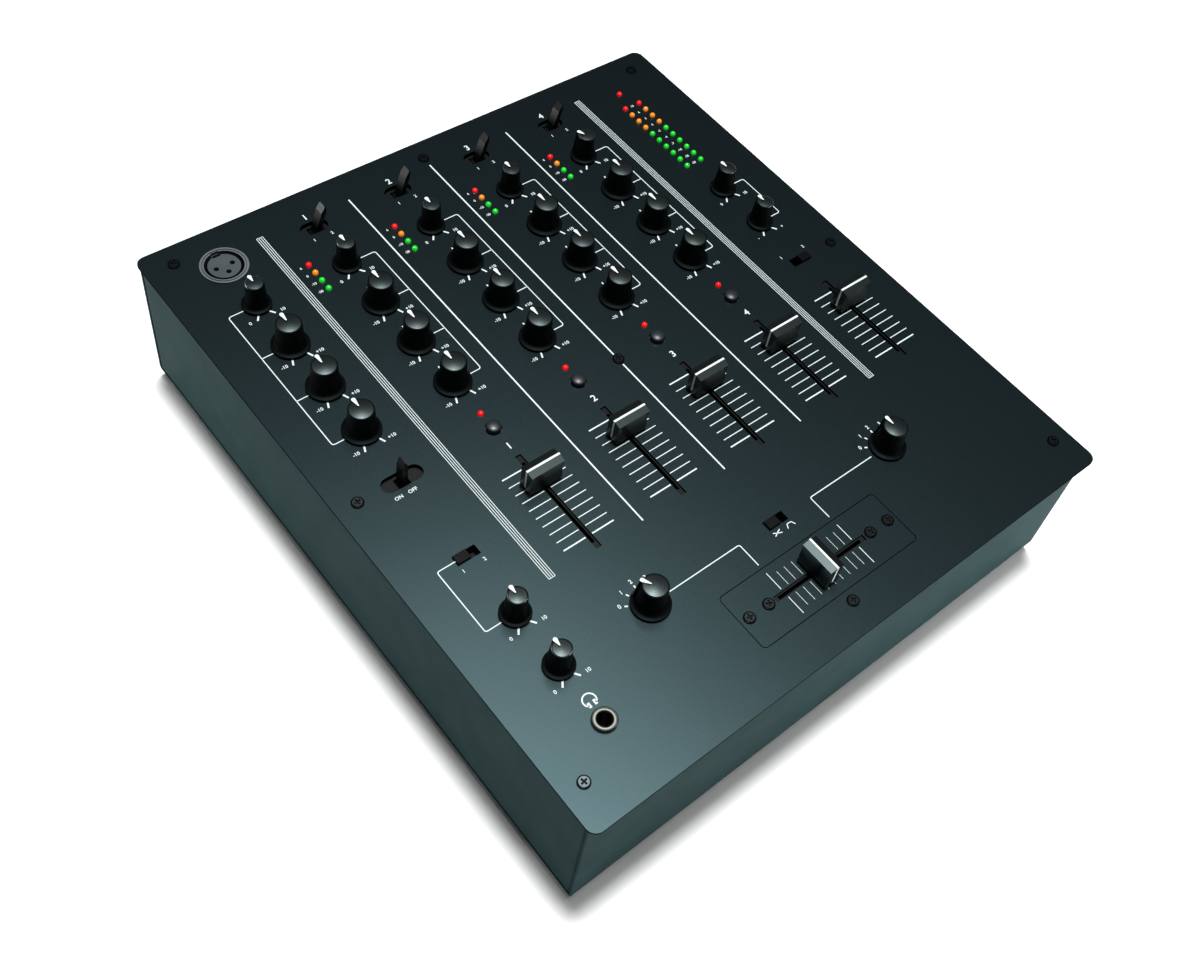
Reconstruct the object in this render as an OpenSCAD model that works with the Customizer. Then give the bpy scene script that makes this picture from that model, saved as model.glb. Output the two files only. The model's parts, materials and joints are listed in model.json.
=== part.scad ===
// Four-channel tabletop audio mixer in a folded steel housing.
// Origin: centre of the whole object's footprint, on the surface that its feet stand on.
// +X is the user's right, +Y runs from the user to the sockets at the rear, +Z is up.
// Places on the panel are given as (x from its centre line, y from its front edge).

/* [Panel] */
// Width of the top panel
panel_w = 318.2; // [314:0.1:330]
// Depth of the top panel
panel_d = 357.4; // [356:0.1:372]
// Thickness of the top panel sheet
panel_t = 1.2; // [1:0.1:1.5]
// Radius of the top panel's corners
panel_corner_r = 5; // [3:0.5:8]

/* [Housing] */
// Height of the housing from its underside to the panel's underside
housing_h = 80; // [76:1:100]
// Thickness of the housing sheet
sheet_t = 1.2; // [1:0.1:1.5]
// Outer radius of the housing's bends
bend_r = 2; // [1.8:0.1:3]
// Distance of the side walls in from the panel's side edges
side_inset = 2; // [1:0.1:3]
// Distance of the front wall in from the panel's front edge
front_inset = 4.3; // [3:0.1:6]
// Distance of the rear wall in from the panel's rear edge
rear_inset = 1.1; // [0.6:0.1:3]
// Width of the return that each side wall folds in at its edges
side_return = 9; // [6:0.5:12]
// Width of the tabs that the panel screws go into
tab_w = 14; // [11:0.5:16]
// Diameter of the post under the middle of the panel
post_d = 8; // [6:0.5:9]

/* [Feet] */
// Height of the rubber feet
foot_h = 6; // [4:0.5:10]
// Diameter of a foot where it meets the floor
foot_d = 20; // [14:1:26]
// Taper of a foot's radius from its top to its bottom
foot_taper = 1.5; // [0.5:0.5:3]
// Distance of each foot's axis in from the housing's walls
foot_inset = 24; // [16:1:34]
// Diameter of the screw that holds a foot
foot_screw_d = 4; // [3:0.5:5]

/* [Layout] */
// Distance between the columns of controls
column_pitch = 50; // [48:0.5:51]
// Distance between the rows of knobs
row_pitch = 30; // [28:0.5:31]
// Row of the assign knobs, cue level knob and curve switch
front_row_y = 66; // [64:0.5:70]
// Row of the faders' middles and of the cue switch
fader_row_y = 131.2; // [130:0.2:134]
// Row of the cue buttons, the microphone lever and the mono switch
button_row_y = 179.8; // [177:0.2:182]
// Row of the lowest tone knobs
bass_row_y = 212; // [210:0.5:213]
// Row of the input levers and the microphone socket
input_row_y = 332; // [330:0.5:333]
// Row of the crossfader and the headphone socket
cross_row_y = 35.7; // [34:0.1:37]

/* [Panel screws] */
// Diameter of a panel screw's head
screw_head_d = 6; // [5:0.1:7]
// Height of a panel screw's head
screw_head_h = 1; // [0.8:0.1:1.4]
// Diameter of a panel screw's shank
screw_d = 3; // [2.5:0.1:3.2]
// Length of a panel screw under its head
screw_l = 7; // [6:0.5:8]
// Width of the arms of the cross recess
recess_w = 0.9; // [0.7:0.1:1.1]
// Distance of the rear screws in from the rear edge
screw_rear_y = 12.2; // [11:0.1:14]
// Distance of the two front corner screws in from the front edge
screw_front_y = 20; // [16:0.5:22]
// Distance of the front middle screw in from the front edge
screw_front_mid_y = 14.9; // [12:0.1:16]
// Distance of the side screws in from the side edges
screw_side_x = 11; // [9:0.5:13]
// Distance of the rear corner screws in from the side edges
screw_rear_x = 14.6; // [13:0.1:15]

/* [Knobs] */
// Height of the wide knobs above the panel
wide_knob_h = 16; // [13:0.5:20]
// Radius of a wide knob's top
wide_top_r = 6.15; // [5.5:0.05:6.4]
// Radius of a wide knob's skirt
wide_skirt_r = 9.25; // [8.8:0.05:10]
// Height of the narrow knobs above the panel
narrow_knob_h = 15.5; // [13:0.5:20]
// Radius of a narrow knob's top
narrow_top_r = 4.6; // [4.3:0.05:5]
// Radius of a narrow knob's skirt
narrow_skirt_r = 7.25; // [6.9:0.05:8]
// Thickness of the skirt's rim
skirt_t = 0.9; // [0.7:0.1:1.2]
// Depth of the dish in a knob's top
dish_depth = 0.9; // [0.5:0.1:1.5]
// Wall between a knob's outside and the hollow under it
knob_wall = 1.4; // [1:0.1:1.5]
// Distance that the pointer stands out from the knob's top edge
pointer_reach = 1; // [0.6:0.1:1.4]
// Width of the pointer's fin
pointer_w = 0.9; // [0.7:0.1:1.2]
// Width of the pointer's head on the knob's top
pointer_head_w = 2; // [1.6:0.1:2.4]
// Gap between a knob and the panel
knob_gap = 0.8; // [0.6:0.1:1.2]
// Turn of the fourth channel's gain knob
gain_4_turn = 25; // [-120:5:120]
// Angle between an assign knob's positions
assign_step = 30; // [20:5:30]

/* [Rotary controls] */
// Diameter of a control's shaft
shaft_d = 5; // [4:0.5:5]
// Outer diameter of the bush round the shaft
bush_d = 7; // [6.6:0.1:7.2]
// Diameter of the shoulder that meets the panel's underside
shoulder_d = 9; // [8.5:0.1:9.5]
// Side of a control's body
pot_w = 9.8; // [9:0.1:11]
// Height of a control's body on the circuit board
pot_h = 6.6; // [5:0.1:7]
// Distance from the panel's underside to the circuit board
board_drop = 12; // [11.5:0.5:14]
// Thickness of the circuit board
board_t = 1.6; // [1:0.1:2]

/* [Faders] */
// Length of a fader's travel
fader_travel = 45; // [40:1:46]
// Length of the slot of a line fader
fader_slot_l = 60; // [56:1:61]
// Length of the crossfader's slot
cross_slot_l = 57; // [53:1:58]
// Width of the fader slots
fader_slot_w = 3.2; // [2.8:0.1:3.6]
// Distance of the line faders' caps above the middle of their travel
fader_rest = 12.6; // [-18:0.2:18]
// Distance of the crossfader's cap left of the middle of its travel
cross_rest = 2.8; // [-18:0.2:18]
// Length of a fader cap across its travel
cap_l = 18.2; // [16:0.1:20]
// Width of a fader cap at the foot of its bevels
cap_w = 8.2; // [7.4:0.1:9]
// Depth of the finger hollow in each face of a cap
cap_waist = 0.7; // [0.3:0.1:0.9]
// Height of the cap's ridge above the panel
cap_top = 14.6; // [13:0.1:17]
// Fall of the bevels from the ridge
cap_bevel = 0.9; // [0.6:0.1:1.5]
// Gap between a cap and the panel
cap_gap = 1.4; // [1:0.1:1.8]
// Wall of a cap
cap_wall = 1.2; // [1:0.1:1.6]
// Width of the raised line on a cap
cap_line_w = 1.1; // [0.8:0.1:1.4]
// Width of a fader's stem along its travel
stem_w = 4; // [3.5:0.1:4.5]
// Thickness of a fader's stem
stem_t = 1.2; // [1:0.1:1.4]
// Width of a fader's body
fader_body_w = 9; // [8.5:0.5:11]
// Depth of a fader's body under the panel
fader_body_h = 7; // [6.5:0.5:8]
// Wall of a fader's body
fader_wall = 1; // [0.8:0.1:1.2]

/* [Crossfader plate] */
// Width of the crossfader's plate
plate_w = 97.4; // [94:0.1:100]
// Depth of the crossfader's plate
plate_d = 30; // [28:0.1:32]
// Radius of the plate's corners
plate_corner_r = 2; // [1:0.5:3]
// Gap round the plate
plate_gap = 0.4; // [0.3:0.1:0.6]
// Width of the ledges that carry the plate
ledge_w = 8.6; // [8:0.1:9]
// Distance of the outer plate screws from the middle
plate_screw_x = 44; // [43.5:0.1:44.5]
// Distance of the inner plate screws from the middle
cross_screw_x = 32.4; // [32.2:0.1:33]

/* [Switches] */
// Length of an input lever's slot
lever_slot_l = 15; // [13:0.5:17]
// Length of the microphone lever's slot
mic_slot_l = 21.2; // [18:0.2:24]
// Width of the lever slots
lever_slot_w = 8.4; // [7.6:0.1:9]
// Height of the levers above the panel
lever_h = 14; // [11:0.5:17]
// Width of a lever
lever_w = 5; // [4.4:0.1:5.4]
// Thickness of a lever
lever_t = 3.2; // [2.6:0.1:3.6]
// Lean of a thrown lever
lever_lean = 16; // [10:1:18]
// Depth of a lever's pivot below the panel's top
pivot_depth = 6; // [5.6:0.1:7]
// Diameter of a lever's pivot barrel
barrel_d = 5.2; // [4.6:0.1:5.6]
// Length of a slide switch's slot
slide_slot_l = 12; // [11:0.5:14]
// Width of a slide switch's slot
slide_slot_w = 5.3; // [4.8:0.1:6]
// Length of a slide switch's button
slide_l = 6.6; // [5.6:0.1:7.2]
// Height of a slide switch's button above the panel
slide_h = 1.5; // [0.8:0.1:3]
// Diameter of a cue button
button_d = 7.2; // [6.4:0.1:7.6]
// Diameter of the hole round a cue button
button_hole_d = 8.4; // [8:0.1:9]
// Height of a cue button above the panel
button_h = 3.2; // [2.6:0.1:5]
// Travel of a cue button
button_travel = 1.2; // [0.8:0.1:1.5]

/* [Lights] */
// Diameter of a light
led_d = 3; // [2.6:0.1:3.4]
// Height of a light above the panel
led_h = 1.7; // [1.5:0.1:2.5]
// Distance between lights
led_pitch = 6; // [5:0.1:6.2]
// Distance of the channel lights left of their column
led_offset_x = 16; // [14:0.5:18]
// Distance of the highest channel light behind the gain knobs
led_offset_y = 9.1; // [8:0.1:11]
// Distance of the meter's rows from their middle
meter_half = 5; // [4:0.1:7]
// Distance of the meter's highest light in front of the power light
meter_drop = 11.6; // [9:0.1:13]
// Distance of a cue light behind its button
cue_led_y = 10; // [8:0.1:11]

/* [Front sockets] */
// Outer diameter of the microphone socket's bezel
mic_bezel_d = 23.5; // [22:0.1:24]
// Inner diameter of the sleeve that takes the plug's shell
mic_sleeve_d = 19.2; // [19:0.1:19.6]
// Diameter of the insert with the contacts
mic_insert_d = 15.8; // [15.6:0.1:16]
// Depth of the microphone socket
mic_depth = 20; // [16:1:24]
// Height of the microphone socket's bezel above the panel
mic_bezel_h = 0.8; // [0.5:0.1:1.5]
// Radius of the circle that the contacts stand on
mic_contact_r = 4.3; // [3.8:0.1:4.6]
// Diameter of a contact's hole
mic_contact_d = 2.6; // [2.4:0.1:3]
// Diameter of a jack socket's bore
jack_bore_d = 6.4; // [6.35:0.05:6.5]
// Depth of a jack socket's bore
jack_bore_l = 30; // [26:1:34]
// Diameter of a jack socket's bush
jack_bush_d = 9.6; // [9:0.1:10]
// Diameter of a jack socket's nut
jack_nut_d = 11.4; // [11:0.1:13]
// Height of a jack socket's nut
jack_nut_h = 1.8; // [1.4:0.1:3]
// Side of a jack socket's body
jack_body_w = 14; // [12.5:0.5:16]

/* [Rear sockets] */
// Height of the rear sockets' middle above the housing's underside
rear_row_z = 36; // [32:1:40]
// Distance between the two phono sockets of a pair
phono_pitch_z = 15; // [14:0.5:18]
// Distance between two pairs of the same group
phono_pitch_x = 17; // [14:0.5:19]
// Outer diameter of a phono socket's barrel
phono_d = 8.3; // [8:0.1:8.6]
// Diameter of the hole in a phono socket
phono_bore_d = 3.3; // [3.1:0.1:3.6]
// Reach of the phono sockets behind the rear wall
phono_l = 9.5; // [9:0.1:12]
// Diameter of a phono socket's collar
phono_collar_d = 11.4; // [10.4:0.1:12]
// Width of the mains inlet's mouth
inlet_w = 24.6; // [24:0.1:26]
// Height of the mains inlet's mouth
inlet_h = 16.6; // [16:0.1:18]
// Depth of the mains inlet
inlet_depth = 17; // [15:0.5:20]
// Wall of the moulded rear sockets
moulding_t = 1.6; // [1.2:0.1:2]
// Width of the power rocker
rocker_w = 9.6; // [8:0.1:11]
// Height of the power rocker
rocker_h = 17; // [15:0.5:19]
// Tilt of the power rocker each way from level
rocker_tilt = 9; // [6:1:10]

/* [Fits] */
// Clearance round shafts and barrels that turn
running_gap = 0.05; // [0.03:0.01:0.08]
// Clearance round parts that slide in a guide
slide_gap = 0.3; // [0.2:0.05:0.35]
// Clearance round parts that pass through the panel
pass_gap = 0.2; // [0.15:0.05:0.25]

/* [Hidden] */
$fn = 64;
eps = 0.01;
ridge_flat = 0.6;
// Heights of the panel's faces above the floor
top_z = foot_h + housing_h + panel_t;
under_z = top_z - panel_t;
// The origin is in the middle of the footprint, which runs from the panel's front edge to the phono sockets
rear_wall_y = panel_d - rear_inset;
front_y = -(rear_wall_y + phono_l) / 2;
housing_w = panel_w - 2 * side_inset;
housing_d = rear_wall_y - front_inset;
// Columns: microphone, four channels, master
channel_x = [for (i = [-1.5:1:1.5]) i * column_pitch];
mic_x = -2.5 * column_pitch;
master_x = 2.5 * column_pitch;
fader_x = concat(channel_x, [master_x]);
tone_x = concat([mic_x], channel_x);
mid_row_y = bass_row_y + row_pitch;
treble_row_y = bass_row_y + 2 * row_pitch;
gain_row_y = bass_row_y + 3 * row_pitch;
cue_mix_y = front_row_y + row_pitch;
// Knobs: [node, x, y, wide, turn at rest]
KNOBS = concat(
    [for (i = [0:3]) [str("gain_knob_", i + 1), channel_x[i], gain_row_y, false, i == 3 ? gain_4_turn : 0]],
    [for (i = [0:4]) [str("treble_knob_", i == 0 ? "mic" : str(i)), tone_x[i], treble_row_y, true, 0]],
    [for (i = [0:4]) [str("mid_knob_", i == 0 ? "mic" : str(i)), tone_x[i], mid_row_y, true, 0]],
    [for (i = [0:4]) [str("bass_knob_", i == 0 ? "mic" : str(i)), tone_x[i], bass_row_y, true, 0]],
    [["gain_knob_mic", mic_x, gain_row_y, false, 0],
     ["booth_knob", master_x, mid_row_y, false, 0],
     ["balance_knob", master_x, bass_row_y, false, 0],
     ["cue_mix_knob", mic_x, cue_mix_y, false, 0],
     ["cue_level_knob", mic_x, front_row_y, false, 0],
     ["assign_knob_left", channel_x[0], front_row_y, true, assign_step],
     ["assign_knob_right", channel_x[3], front_row_y, true, 0]]);
// Levers: [node, x, y, slot length, lean at rest]
LEVERS = concat(
    [for (i = [0:3]) [str("input_lever_", i + 1), channel_x[i], input_row_y, lever_slot_l, lever_lean]],
    [["mic_lever", mic_x, button_row_y, mic_slot_l, 0]]);
// Slide switches: [node, x, y, side that the button rests on]
SLIDES = [
    ["cue_switch", mic_x, fader_row_y, -1],
    ["mono_switch", master_x, button_row_y, 1],
    ["curve_switch", 0, front_row_y, -1]];
BUTTONS = [for (i = [0:3]) [str("cue_button_", i + 1), channel_x[i], button_row_y]];
FADERS = [for (i = [0:4]) [i < 4 ? str("channel_fader_", i + 1) : "master_fader", fader_x[i], fader_row_y]];
STATIC = ["top_panel", "housing", "crossfader_plate", "panel_screws", "microphone_socket", "jack_sockets",
    "lights_red", "lights_amber", "lights_green", "feet", "control_board", "fader_bodies", "switch_bodies",
    "phono_sockets", "rear_mouldings"];

// Lights: [x, y, row of the colour]
red_leds = concat(
    [for (x = channel_x) [x - led_offset_x, gain_row_y + led_offset_y]],
    [for (s = [-1, 1]) [master_x + s * meter_half, input_row_y - meter_drop]],
    [[master_x, input_row_y]],
    [for (x = channel_x) [x, button_row_y + cue_led_y]]);
amber_leds = concat(
    [for (x = channel_x) [x - led_offset_x, gain_row_y + led_offset_y - led_pitch]],
    [for (s = [-1, 1], k = [1:3]) [master_x + s * meter_half, input_row_y - meter_drop - k * led_pitch]]);
green_leds = concat(
    [for (x = channel_x, k = [2, 3]) [x - led_offset_x, gain_row_y + led_offset_y - k * led_pitch]],
    [for (s = [-1, 1], k = [4:9]) [master_x + s * meter_half, input_row_y - meter_drop - k * led_pitch]]);

// Screws: [x, y]
side_screw_x = panel_w / 2 - screw_side_x;
rear_screw_x = panel_w / 2 - screw_rear_x;
rear_screw_y = panel_d - screw_rear_y;
front_screws = [[-side_screw_x, screw_front_y], [0, screw_front_mid_y], [side_screw_x, screw_front_y]];
side_screws = [[-side_screw_x, button_row_y], [side_screw_x, button_row_y]];
rear_screws = [[-rear_screw_x, rear_screw_y], [0, rear_screw_y], [rear_screw_x, rear_screw_y]];
post_screw = [0, button_row_y];
plate_screws = [for (x = [-plate_screw_x, plate_screw_x, -cross_screw_x, cross_screw_x]) [x, cross_row_y]];
panel_screw_places = concat(front_screws, side_screws, rear_screws, [post_screw]);
screw_hole_d = screw_d + 2 * pass_gap;

// Rear sockets: places along the rear wall
side_clear_x = housing_w / 2 - side_return - 1;
phono_x = concat(
    [for (i = [0:2]) -(side_clear_x - phono_collar_d / 2) + i * phono_pitch_x],
    [for (x = [channel_x[0], channel_x[1]], s = [-0.5, 0.5]) x + s * phono_pitch_x],
    [channel_x[2], channel_x[3]]);
phono_places = [for (x = phono_x, s = [-0.5, 0.5]) [x, foot_h + rear_row_z + s * phono_pitch_z]];
rear_z = foot_h + rear_row_z;
ground_post_x = [for (i = [0, 1]) channel_x[i]];
ground_post_z = rear_z + 1.25 * phono_pitch_z;
ground_post_d = 8;
jack_rear_x = (channel_x[2] + channel_x[3]) / 2;
usb_x = 0;
usb_w = 12;
usb_h = 11;
flange = 1.6;
flange_t = 1.5;
flange_gap = 2;
rocker_frame_w = rocker_w + 2 * slide_gap + 2 * moulding_t;
rocker_frame_h = rocker_h + 2 * slide_gap + 2 * moulding_t;
inlet_x = side_clear_x - inlet_w / 2 - moulding_t;
rocker_x = inlet_x - (inlet_w + rocker_frame_w) / 2 - moulding_t - 2 * flange - flange_gap;

// ---- 2D outlines ----

module rounded_rect(w, d, r) {
    square([w - 2 * r, d], center = true);
    square([w, d - 2 * r], center = true);
    for (x = [-1, 1], y = [-1, 1])
        translate([x * (w / 2 - r), y * (d / 2 - r)]) circle(r);
}

module stadium(l, w) {
    square([l - w, w], center = true);
    for (s = [-1, 1]) translate([s * (l - w) / 2, 0]) circle(d = w);
}

// Puts a 2D or 3D shape at a place on the panel, z above the panel's top
module on_panel(x, y, z = 0) {
    translate([x, front_y + y, top_z + z]) children();
}

module panel_outline() {
    translate([0, panel_d / 2]) rounded_rect(panel_w, panel_d, panel_corner_r);
}

// ---- Sheet metal ----

module panel_holes() {
    for (k = KNOBS) translate([k[1], k[2]]) circle(d = bush_d + 2 * pass_gap);
    for (p = concat(red_leds, amber_leds, green_leds)) translate(p) circle(d = led_d + 2 * pass_gap);
    for (p = panel_screw_places) translate(p) circle(d = screw_hole_d);
    for (f = FADERS) translate([f[1], f[2]]) square([fader_slot_w, fader_slot_l], center = true);
    for (l = LEVERS) translate([l[1], l[2]]) stadium(l[3], lever_slot_w);
    for (s = SLIDES) translate([s[1], s[2]]) square([slide_slot_l, slide_slot_w], center = true);
    for (b = BUTTONS) translate([b[1], b[2]]) circle(d = button_hole_d);
    translate([mic_x, input_row_y]) circle(d = mic_body_d + 2 * pass_gap);
    translate([mic_x, cross_row_y]) circle(d = jack_bush_d + 2 * pass_gap);
    translate([0, cross_row_y])
        rounded_rect(plate_w + 2 * plate_gap, plate_d + 2 * plate_gap, plate_corner_r + plate_gap);
}

// The ledges are strips under the panel that carry the ends of the crossfader's plate
module ledges() {
    lap = 6;
    for (s = [-1, 1]) translate([0, cross_row_y]) difference() {
        translate([s * (plate_w + lap - ledge_w) / 2, 0]) square([ledge_w + lap, plate_d], center = true);
        translate([s * plate_screw_x, 0]) circle(d = screw_hole_d);
    }
}

module top_panel() {
    color("#3d4649") {
        on_panel(0, 0, -panel_t) linear_extrude(panel_t) difference() {
            panel_outline();
            panel_holes();
        }
        on_panel(0, 0, -2 * panel_t) linear_extrude(panel_t) ledges();
    }
}

module crossfader_plate() {
    color("#40494c") on_panel(0, 0, -panel_t) linear_extrude(panel_t) translate([0, cross_row_y]) difference() {
        rounded_rect(plate_w, plate_d, plate_corner_r);
        square([cross_slot_l, fader_slot_w], center = true);
        for (x = [-plate_screw_x, plate_screw_x, -cross_screw_x, cross_screw_x])
            translate([x, 0]) circle(d = screw_hole_d);
    }
}

// A channel of bent sheet, open at the top: the front, the bottom and the rear of the housing
module channel_profile(w, h, t, r) {
    difference() {
        translate([0, h]) rounded_rect(w, 2 * h, r);
        translate([0, h + t]) rounded_rect(w - 2 * t, 2 * h, r - t);
        translate([0, 1.5 * h]) square([w + 2, h], center = true);
    }
}

// A side wall with its edges folded in, closing the channel's end at x = 0 and folded towards +x
module side_wall() {
    d = housing_d - 2 * sheet_t;
    h = housing_h - sheet_t;
    w = side_return;
    r = bend_r;
    difference() {
        side_block(w, d, h, r);
        translate([sheet_t, 0, sheet_t]) side_block(w, d - 2 * sheet_t, h, r - sheet_t);
        translate([-1, -d / 2 - 1, h]) cube([w + 2, d + 2, h]);
    }
}

// A block, from x = 0, whose edges round the x = 0 face are rounded at the front, rear and bottom
module side_block(w, d, h, r) {
    intersection() {
        translate([w / 2 + r, 0, 0]) linear_extrude(2 * h) rounded_rect(w + 2 * r, d, r);
        translate([w / 2 + r, d / 2, 0]) rotate([90, 0, 0])
            linear_extrude(d) translate([0, h]) rounded_rect(w + 2 * r, 2 * h, r);
        translate([-1, -d, 0]) cube([w + 1, 2 * d, 2 * h]);
    }
}

// The tab that a panel screw goes into, reaching from a wall to just past the screw
module screw_tab(place, reach, turn) {
    translate([place[0], front_y + place[1], under_z - sheet_t]) rotate(turn)
        translate([-tab_w / 2, -tab_w / 2]) cube([tab_w, tab_w / 2 + reach, sheet_t]);
}

module rear_holes() {
    for (p = phono_places) translate(p) circle(d = phono_d + 2 * pass_gap);
    for (x = ground_post_x) translate([x, ground_post_z]) circle(d = screw_hole_d);
    translate([jack_rear_x, rear_z]) circle(d = jack_bush_d + 2 * pass_gap);
    translate([usb_x, rear_z]) square([usb_w + 2 * pass_gap, usb_h + 2 * pass_gap], center = true);
    translate([rocker_x, rear_z])
        square([rocker_frame_w + 2 * pass_gap, rocker_frame_h + 2 * pass_gap], center = true);
    translate([inlet_x, rear_z])
        square([inlet_w + 2 * moulding_t + 2 * pass_gap, inlet_h + 2 * moulding_t + 2 * pass_gap], center = true);
}

module housing() {
    wall_x = housing_w / 2;
    mid_y = front_y + front_inset + housing_d / 2;
    color("#4a5659") difference() {
        union() {
            translate([-wall_x, mid_y, foot_h]) rotate([90, 0, 90])
                linear_extrude(housing_w) channel_profile(housing_d, housing_h, sheet_t, bend_r);
            translate([-wall_x, mid_y, foot_h + sheet_t]) side_wall();
            mirror([1, 0, 0]) translate([-wall_x, mid_y, foot_h + sheet_t]) side_wall();
            for (p = front_screws) screw_tab(p, p[1] - front_inset - sheet_t / 2, 180);
            for (p = rear_screws) screw_tab(p, rear_wall_y - sheet_t / 2 - p[1], 0);
            for (p = side_screws)
                screw_tab(p, wall_x - sheet_t / 2 - abs(p[0]), p[0] < 0 ? 90 : -90);
            translate([0, front_y + post_screw[1], foot_h + sheet_t / 2])
                cylinder(d = post_d, h = housing_h - sheet_t / 2);
        }
        for (p = panel_screw_places)
            translate([p[0], front_y + p[1], under_z - screw_l]) cylinder(d = screw_d, h = screw_l + 1);
        for (p = foot_places) translate([p[0], p[1], foot_h - 1]) cylinder(d = foot_screw_d, h = sheet_t + 2);
        translate([0, front_y + rear_wall_y + 1, 0]) rotate([90, 0, 0])
            linear_extrude(2 * sheet_t + 2) rear_holes();
    }
}

foot_x = housing_w / 2 - foot_inset;
foot_places = [for (x = [-foot_x, foot_x], y = [front_inset + foot_inset, rear_wall_y - foot_inset])
    [x, front_y + y]];

module feet() {
    washer_t = 2;
    color("#1a1a1a") for (p = foot_places) translate([p[0], p[1], 0]) difference() {
        union() {
            cylinder(r1 = foot_d / 2 - foot_taper, r2 = foot_d / 2, h = foot_h);
            translate([0, 0, foot_h]) cylinder(d = foot_screw_d - 2 * running_gap, h = sheet_t);
            translate([0, 0, foot_h + sheet_t]) cylinder(d = foot_screw_d + 3, h = washer_t);
        }
        translate([0, 0, -1]) cylinder(d = foot_d / 2, h = foot_h / 2 + 1);
    }
}

// ---- Fasteners ----

module panel_screw() {
    crown_r = 0.4;
    recess_depth = screw_head_h - 0.2;
    difference() {
        union() {
            rotate_extrude() polygon(concat(
                [[0, 0], [screw_head_d / 2, 0], [screw_head_d / 2, screw_head_h - crown_r]],
                [for (a = [22.5:22.5:90])
                    [screw_head_d / 2 - crown_r + crown_r * cos(a), screw_head_h - crown_r + crown_r * sin(a)]],
                [[0, screw_head_h]]));
            translate([0, 0, -screw_l]) cylinder(d = screw_d, h = screw_l + eps);
        }
        for (a = [0, 90]) rotate(a) translate([0, 0, screw_head_h])
            cube([screw_head_d * 0.55, recess_w, 2 * recess_depth], center = true);
    }
}

module panel_screws() {
    turn = 37;
    color("#2b3032") for (p = concat(panel_screw_places, plate_screws))
        on_panel(p[0], p[1]) rotate(turn * p[0]) panel_screw();
}

// ---- Lights ----

module led(p) {
    on_panel(p[0], p[1], -panel_t - board_drop) {
        cylinder(d = led_d, h = panel_t + board_drop + led_h - led_d / 2);
        translate([0, 0, panel_t + board_drop + led_h - led_d / 2]) sphere(d = led_d);
    }
}

module lights_red() { color("#e0283a") for (p = red_leds) led(p); }
module lights_amber() { color("#e8a23a") for (p = amber_leds) led(p); }
module lights_green() { color("#3ddc4a") for (p = green_leds) led(p); }

// ---- Rotary controls and knobs ----

// Half outline of a knob above the panel, from the skirt's lower edge up to the middle of the dish
function knob_outline(h, top_r, skirt_r) =
    let (flare_z = knob_gap + skirt_t + 0.3,
         flare_r = skirt_r - 1.1,
         waist_r = top_r + 0.55,
         waist_z = flare_z + 4.2,
         rim = 0.45,
         dish_r = top_r - 0.7)
    concat(
        [[skirt_r - 0.15, knob_gap], [skirt_r, knob_gap + 0.2], [skirt_r, knob_gap + skirt_t]],
        [for (i = [0:4]) let (a = i * 22.5)
            [flare_r - (flare_r - waist_r) * sin(a), waist_z - (waist_z - flare_z) * cos(a)]],
        [for (i = [0:2]) let (a = i * 45)
            [top_r - rim + rim * cos(a), h - rim + rim * sin(a)]],
        [for (i = [0:4]) let (t = 1 - i / 4) [dish_r * t, h - dish_depth * (1 - t * t)]]);

module knob_body(h, top_r, skirt_r) {
    hollow_h = 5.5;
    hub_r = shaft_d / 2 + 0.9;
    hollow_r = top_r + 0.4 - knob_wall / 2;
    difference() {
        rotate_extrude() polygon(concat([[0, knob_gap]], knob_outline(h, top_r, skirt_r)));
        rotate_extrude() polygon([
            [hub_r, knob_gap - 1], [skirt_r - knob_wall, knob_gap - 1], [skirt_r - knob_wall - 0.4, knob_gap + 0.9],
            [hollow_r, knob_gap + 3.4], [hollow_r, knob_gap + hollow_h], [hub_r, knob_gap + hollow_h]]);
        translate([0, 0, knob_gap - 1]) cylinder(r = hub_r + 1, h = 1.3);
    }
}

// The pointer is a fin down the knob's back and a tapering head on its top
module pointer(h, top_r, skirt_r) {
    head_r = pointer_head_w / 2;
    tip_r = pointer_w / 3;
    head_y = top_r + pointer_reach - head_r;
    tip_y = top_r * 0.35;
    rise = 0.15;
    foot_z = knob_gap + skirt_t;
    rotate([90, 0, 90]) translate([0, 0, -pointer_w / 2]) linear_extrude(pointer_w) polygon([
        [top_r - 2, foot_z - 0.2], [skirt_r - 0.4, foot_z - 0.2], [skirt_r - 0.4, foot_z + 0.3],
        [top_r + pointer_reach, h - 0.5], [top_r + pointer_reach - 0.35, h], [top_r - 1, h]]);
    translate([0, 0, h - dish_depth - 0.3]) linear_extrude(dish_depth + 0.3 + rise) {
        translate([0, head_y]) circle(head_r);
        translate([0, tip_y]) circle(tip_r);
        polygon([[-tip_r, tip_y], [tip_r, tip_y], [head_r, head_y], [-head_r, head_y]]);
    }
}

module knob(k) {
    h = k[3] ? wide_knob_h : narrow_knob_h;
    top_r = k[3] ? wide_top_r : narrow_top_r;
    skirt_r = k[3] ? wide_skirt_r : narrow_skirt_r;
    shaft_end = -panel_t - board_drop + pot_floor + slide_gap;
    shaft_cover = 4;
    on_panel(k[1], k[2]) rotate(k[4]) color("#1c1e20") {
        knob_body(h, top_r, skirt_r);
        pointer(h, top_r, skirt_r);
        translate([0, 0, shaft_end]) cylinder(d = shaft_d, h = h - shaft_cover - shaft_end);
    }
}

pot_floor = 2;
module pot_body() {
    bush_top = panel_t + board_drop + knob_gap / 2;
    difference() {
        union() {
            translate([-pot_w / 2, -pot_w / 2, -eps]) cube([pot_w, pot_w, pot_h + eps]);
            cylinder(d = shoulder_d, h = board_drop);
            cylinder(d = bush_d, h = bush_top);
        }
        translate([0, 0, pot_floor]) cylinder(d = shaft_d + 2 * running_gap, h = bush_top);
    }
}

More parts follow.
